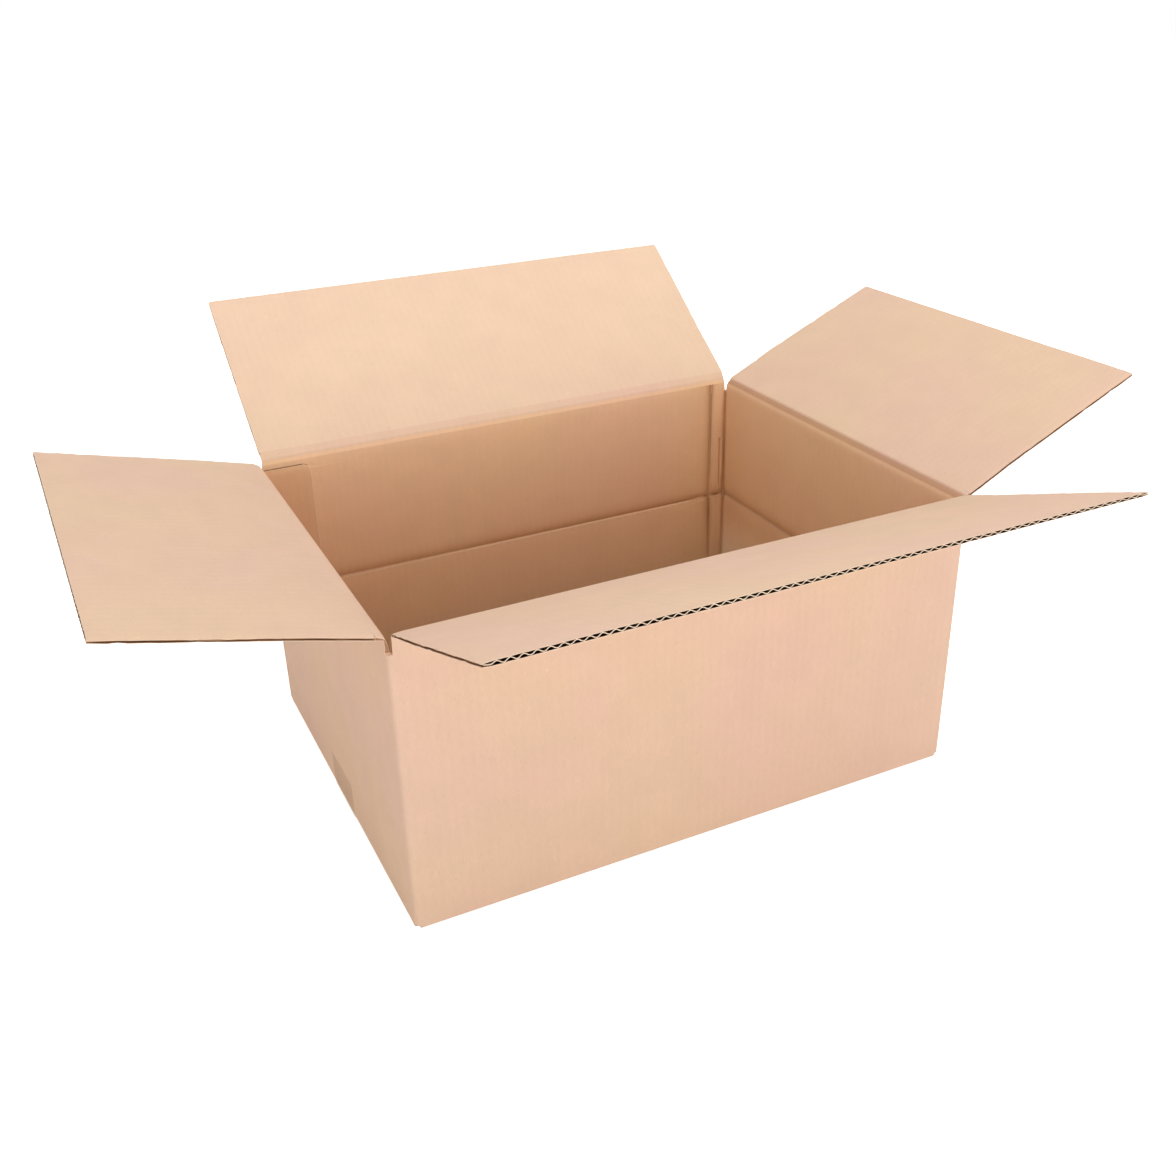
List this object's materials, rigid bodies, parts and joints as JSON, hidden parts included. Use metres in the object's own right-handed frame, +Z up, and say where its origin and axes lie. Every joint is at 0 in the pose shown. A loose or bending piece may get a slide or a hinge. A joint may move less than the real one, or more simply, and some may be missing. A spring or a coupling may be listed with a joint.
{
  "type": "open cardboard box",
  "caption": "Rectangular shipping box of folded corrugated board with a closed, taped bottom and hinged top flaps standing open.",
  "frame": {"origin": "middle of the underside, on the surface that the box stands on", "axes": "+X to the right along the front wall, +Y from the front wall to the back wall, +Z up out of the open top"},
  "size_m": [0.6936, 0.572, 0.2985],
  "materials": {
    "kraft_board": "matt brown kraft paper liners over a fluted middle layer",
    "clear_tape": "clear glossy film"
  },
  "bodies": {
    "box": {"box_body": "kraft_board", "bottom_tape": "clear_tape"},
    "front_flap": {"front_flap": "kraft_board"},
    "back_flap": {"back_flap": "kraft_board"},
    "left_flap": {"left_flap": "kraft_board"},
    "right_flap": {"right_flap": "kraft_board"}
  },
  "joints": [
    {"name": "front_flap_crease", "type": "hinge", "parent": "box", "child": "front_flap", "pos_m": [0, -0.1531, 0.2063], "axis": [1, 0, 0], "range_deg": [-159, 109]},
    {"name": "back_flap_crease", "type": "hinge", "parent": "box", "child": "back_flap", "pos_m": [0, 0.1531, 0.2063], "axis": [-1, 0, 0], "range_deg": [-144, 124]},
    {"name": "left_flap_crease", "type": "hinge", "parent": "box", "child": "left_flap", "pos_m": [-0.2031, 0, 0.203], "axis": [0, -1, 0], "range_deg": [-166, 102]},
    {"name": "right_flap_crease", "type": "hinge", "parent": "box", "child": "right_flap", "pos_m": [0.2031, 0, 0.203], "axis": [0, 1, 0], "range_deg": [-156, 112]}
  ]
}
